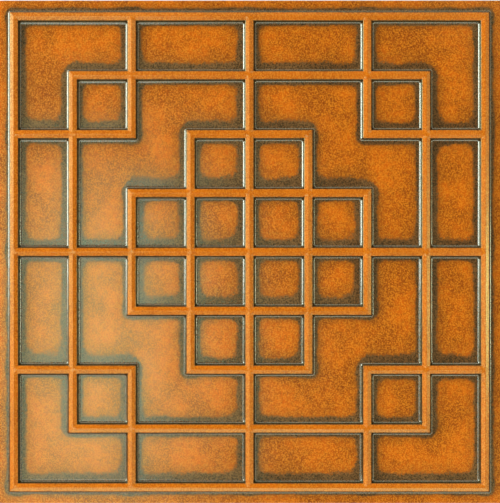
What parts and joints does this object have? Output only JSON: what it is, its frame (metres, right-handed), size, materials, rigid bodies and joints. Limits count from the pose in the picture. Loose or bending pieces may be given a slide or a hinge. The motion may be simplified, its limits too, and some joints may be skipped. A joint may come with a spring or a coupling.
{
  "type": "faux tin ceiling tile",
  "caption": "Thin square vacuum-formed ceiling tile with a raised fretwork of hollow bars over flat panels, finished like aged copper.",
  "frame": {"origin": "middle of the back plane, which is the plane the flat panels and the rim lie on", "axes": "+Z out of the decorated face, X and Y along the tile's edges"},
  "size_m": [0.603, 0.603, 0.0076],
  "materials": {
    "ceiling_tile": "aged copper paint on the face, with dark patina beside the bars"
  },
  "bodies": {
    "root": {"ceiling_tile": "ceiling_tile"}
  },
  "joints": []
}
